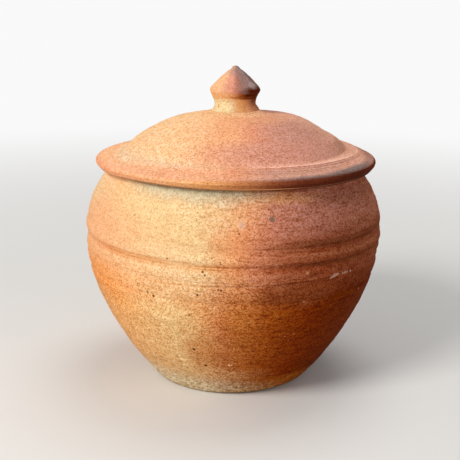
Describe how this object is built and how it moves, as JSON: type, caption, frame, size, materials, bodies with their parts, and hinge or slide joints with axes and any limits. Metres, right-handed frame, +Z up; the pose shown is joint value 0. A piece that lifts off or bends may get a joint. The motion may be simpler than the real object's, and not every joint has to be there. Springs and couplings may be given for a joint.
{
  "type": "salt jar",
  "caption": "Round-bellied wheel-thrown stoneware salt jar on a small trimmed foot, with a domed lift-off lid that overhangs its mouth and carries a pointed knob.",
  "frame": {"origin": "centre of the foot's underside, on the surface that the jar stands on", "axes": "+Z up along the throwing axis; -Y is the side that the picture shows"},
  "size_m": [0.125, 0.125, 0.1322],
  "materials": {
    "jar_stoneware": "matt unglazed stoneware, fine grit, peach to rust flashing",
    "lid_stoneware": "matt unglazed stoneware, fine grit, peach to mauve flashing",
    "knob_stoneware": "matt unglazed stoneware, dark mauve on one side"
  },
  "bodies": {
    "jar": {"jar_body": "jar_stoneware"},
    "lid": {"lid": "lid_stoneware", "lid_knob": "knob_stoneware"}
  },
  "joints": [
    {"name": "lid_lift", "type": "slide", "parent": "jar", "child": "lid", "axis": [0, 0, 1], "range_m": [0, 0.06]}
  ]
}
